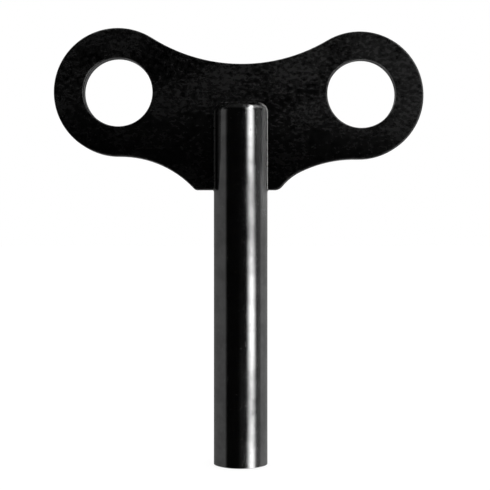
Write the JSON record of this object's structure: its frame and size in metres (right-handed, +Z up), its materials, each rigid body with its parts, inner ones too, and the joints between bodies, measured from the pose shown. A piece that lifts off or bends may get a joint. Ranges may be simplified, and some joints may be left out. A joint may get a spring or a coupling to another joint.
{
  "type": "radiator bleed key",
  "caption": "Clock-pattern radiator bleed key: flat black wing plate with a round hole at each end, brazed into the slotted top of a round steel stem with a square socket.",
  "frame": {"origin": "centre of the square socket's mouth, on the plane of the stem's lower end", "axes": "+Z up the stem towards the wing plate, +X along the wings towards the ring with the rounded shoulder, Y across the plate's thickness"},
  "size_m": [0.0603, 0.0088, 0.0714],
  "materials": {
    "blackened_steel": "turned and polished bar, chemically blackened, with a clear gloss",
    "matte_black_finish": "matte black finish on stamped sheet steel, faintly mottled",
    "blackened_braze": "brazing filler, blackened with the rest of the key"
  },
  "bodies": {
    "root": {"stem": "blackened_steel", "wing_plate": "matte_black_finish", "braze_joint": "blackened_braze"}
  },
  "joints": []
}
